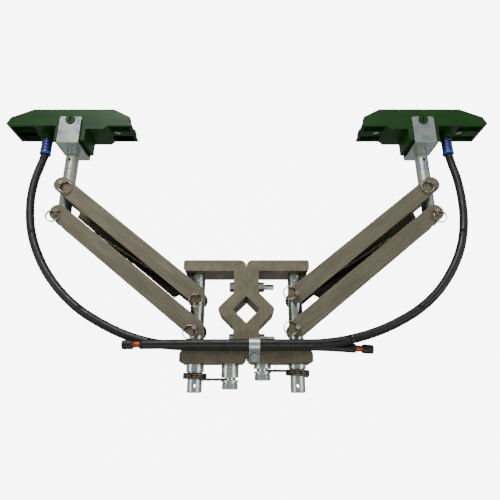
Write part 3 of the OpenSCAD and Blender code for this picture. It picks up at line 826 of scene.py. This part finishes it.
def hook(pin, towards, across, coil_r, wire):
    """A shank that leaves the coil's rim and an open loop of 280 degrees round the pin."""
    along = np.linspace(LIFT_SHANK, 0, 12)[:-1, None]
    drift = coil_r + (HOOK_R - coil_r) * (1 - along / LIFT_SHANK)
    shank = pin + towards * along + across * drift
    turn = np.radians(np.linspace(90, 370, 30))[:, None]
    loop = pin + HOOK_R * (towards * np.cos(turn) + across * np.sin(turn))
    return tube(np.concatenate([shank, loop]), wire / 2, sides=8)


def centring_spring(side):
    """A torsion spring: three close coils round the post, a leg that ends between the anchor bolt's
    washers, and a short tail."""
    node = f"centring_spring_{side}"
    settings = sizes()
    wire = settings.centring_wire
    low, high = box(node)
    x = joint_point(f"swing_{side}")[0]
    radius = (high[1] - low[1]) / 2 - wire / 2
    coil_low, coil_high = low[2] + wire / 2, high[2] - wire / 2
    leg_first = side == LEFT  # the left spring's leg is its lowest wire
    leg_z, tail_z = (coil_low, coil_high) if leg_first else (coil_high, coil_low)
    leg_end = high[0] if side == LEFT else low[0]
    tail_end = low[0] if side == LEFT else high[0]
    turns = 2.98
    steps = np.linspace(0, 1, 130)[:, None]
    angle = np.pi / 2 + SIGN[side] * 2 * np.pi * turns * steps
    coil = np.concatenate([
        x + radius * np.cos(angle), radius * np.sin(angle), leg_z + (tail_z - leg_z) * steps
    ], 1)
    leg_tip = np.array([leg_end, LEG_Y, leg_z])
    leg = leg_tip + np.linspace(0, 1, 16)[:-1, None] * (coil[0] - leg_tip)
    tail_tip = np.array([tail_end, coil[-1][1] + 0.5 * MM, coil[-1][2]])
    tail = coil[-1] + np.linspace(0, 1, 8)[1:, None] * (tail_tip - coil[-1])
    points, faces = joined([
        tube(line, wire / 2, sides=14, reference=Z_AXIS)
        for line in (coil, leg, np.concatenate([coil[-1:], tail]))
    ])
    placed(new_mesh(f"{node}_wound", points, faces, "spring_steel"), node)


class CollectorHeads(bpy.types.Operator):
    """Finish the fork brackets, the moulded heads, the contact shoes and their screws"""

    bl_idname = "collector.heads"
    bl_label = "Heads"

    def execute(self, context):
        edge = sizes().edge
        for side in SIGN:
            finished(f"shoe_bracket_{side}", "zinc_steel", 1.2 * edge, 3)
            finished(f"collector_head_{side}", "green_plastic", sizes().moulded_edge, 3)
            finished(f"contact_shoe_{side}", "copper_graphite", edge)
            finished(f"shoe_screws_{side}", "bright_zinc", 0.6 * edge)
        return {"FINISHED"}


class CollectorCables(bpy.types.Operator):
    """Lay the cables, with their boots, bare strands and the slugs of jacket on their ends"""

    bl_idname = "collector.cables"
    bl_label = "Cables"

    def execute(self, context):
        for side in SIGN:
            boot(side)
        strands = bare_strands()
        slugs = jacket_slugs()
        for side in SIGN:
            cable(side, strands, slugs)
        return {"FINISHED"}


def boot(side):
    """A turned rubber boot: a bead round the bottom, and above it a waist with shallow grips."""
    node = f"cable_boot_{side}"
    low, high = box(node)
    r = (high[0] - low[0]) / 2
    middle = (low + high) / 2
    h = high[2] - low[2]
    bulge, half_bead, grip = 0.9 * MM, BOOT_RIM / 2, 0.25 * MM
    bead = [(r - bulge + bulge * math.sin(a), half_bead - half_bead * math.cos(a))
            for a in np.linspace(0.1, math.pi - 0.4, 14)]
    waist = [(r - 0.7 * MM + grip * math.cos(9 * math.pi * t), BOOT_RIM + t * (h - 4.6 * MM))
             for t in np.linspace(0, 1, 24)]
    profile = [(0, 0), (r - 2.2 * MM, 0.0), *bead, *waist, (r - 1.6 * MM, h), (0, h)]
    points, faces = turned(profile, np.array([middle[0], middle[1], low[2]]))
    made = new_mesh(f"{node}_moulded", points, faces, "boot_rubber")
    placed(made, node, rides=False)
    top, bottom = high.copy(), low.copy()
    top[:2] = bottom[:2] = middle[:2]
    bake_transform(made)


def cable_path(side):
    """The whole centre line of a cable."""
    low, high = box(f"cable_boot_{side}")
    start = [(low[0] + high[0]) / 2, 0.0, low[2]]
    return smooth_path([start, *(np.array(ROUTES[side]) * MM)], ROUTE_STEPS)


def length_uv(lengths):
    """A (length along, part of a turn) pair for each point of a cable's tube and of its ends."""
    around = np.tile(np.arange(CABLE_SIDES) / CABLE_SIDES, len(lengths))
    uv = np.stack([np.repeat(lengths, CABLE_SIDES), around], -1)
    return np.concatenate([uv, uv[:1], uv[-1:]])


def cable(side, strands, slugs):
    """Four lengths of one cable, cut at the route points listed in CABLE_ENDS."""
    path = cable_path(side)
    diameter = sizes().cable
    run = np.concatenate([[0], np.cumsum(np.linalg.norm(np.diff(path, axis=0), axis=1))])
    ends = [*CABLE_ENDS, (len(path) - 1) // ROUTE_STEPS]
    pairs = (
        ("upper", f"head_swivel_{side}", f"head_stem_{side}"),
        ("middle", f"head_stem_{side}", f"upper_link_{side}"),
        ("lower", f"upper_link_{side}", f"swing_post_{side}"),
        ("tail", f"swing_post_{side}", "root"),
    )
    for (name, first_body, last_body), first, last in zip(pairs, ends[:-1], ends[1:]):
        rings = slice(first * ROUTE_STEPS, last * ROUTE_STEPS + 1)
        line = path[rings]
        points, faces = tube(line, diameter / 2, CABLE_SIDES)
        node = f"cable_{side}_{name}"
        made = new_mesh(f"{node}_jacket", points, faces, "cable_jacket", length_uv(run[rings]))
        placed(made, node, rides=False)
        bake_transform(made)


def cable_tip(side):
    """Where a cable's jacket is cut, and the way it points there."""
    path = cable_path(side)
    return path[-1], unit(path[-1] - path[-2])


def bare_strands():
    """As many strands as fit round a core, laid with a long twist, at both cables' ends."""
    strand = sizes().strand
    parts = []
    for side in SIGN:
        tip, way = cable_tip(side)
        core_r = BARE_R - strand
        start, end = tip - way * 0.5 * MM, tip + way * (BARE + 0.5 * MM)
        parts.append(tube([start, (start + end) / 2, end], core_r, sides=20))
        count = int(2 * np.pi * (core_r + strand / 2) / strand)
        for i in range(count):
            path, along = helix(
                start, end, core_r + strand * 0.42, turns=0.3, steps=40, phase=2 * np.pi * i / count
            )
            parts.append(tube(path, strand / 2, sides=7, reference=along))
    made = new_mesh("cable_strands_twisted", *joined(parts), "copper_strands")
    return placed(made, "cable_strands")


def jacket_slugs():
    """A short length of jacket left on each cable's end."""
    radius, rounding = sizes().cable / 2, 0.6 * MM
    parts, uvs = [], []
    for side in SIGN:
        tip, way = cable_tip(side)
        t = np.linspace(0, 1, 12)
        rings = radius - rounding * np.array([1, 0.35, 0.1, *[0] * 6, 0.1, 0.35, 1])
        line = tip + way * (BARE + SLUG * t[:, None])
        parts.append(tube(line, rings, CABLE_SIDES))
        uvs.append(length_uv(t * SLUG))
    made = new_mesh("cable_slugs_jacket", *joined(parts), "cable_jacket", np.concatenate(uvs))
    return placed(made, "cable_slugs")


# ---- add-on ---------------------------------------------------------------------------------

class CollectorPanel(bpy.types.Panel):
    """Lists the collector's operators"""

    bl_idname = "VIEW3D_PT_collector"
    bl_label = "Current collector"
    bl_space_type = "VIEW_3D"
    bl_region_type = "UI"
    bl_category = "Collector"

    def draw(self, context):
        for operator in OPERATORS:
            self.layout.operator(operator.bl_idname)
        for group in (context.scene.collector_sizes, context.scene.collector_colours):
            for name in group.__annotations__:
                self.layout.prop(group, name)


OPERATORS = (
    CollectorStage,
    CollectorCables,
    CollectorClamp,
    CollectorLinks,
    CollectorRings,
    CollectorSprings,
    CollectorHeads,
)
CLASSES = (CollectorSizes, CollectorColours, *OPERATORS, CollectorPanel)


def register():
    for made in CLASSES:
        bpy.utils.register_class(made)
    bpy.types.Scene.collector_sizes = bpy.props.PointerProperty(type=CollectorSizes)
    bpy.types.Scene.collector_colours = bpy.props.PointerProperty(type=CollectorColours)


def unregister():
    del bpy.types.Scene.collector_colours
    del bpy.types.Scene.collector_sizes
    for made in reversed(CLASSES):
        bpy.utils.unregister_class(made)


def main():
    register()
    for operator in OPERATORS:
        group, name = operator.bl_idname.split(".")
        getattr(getattr(bpy.ops, group), name)()


if __name__ == "__main__":
    main()
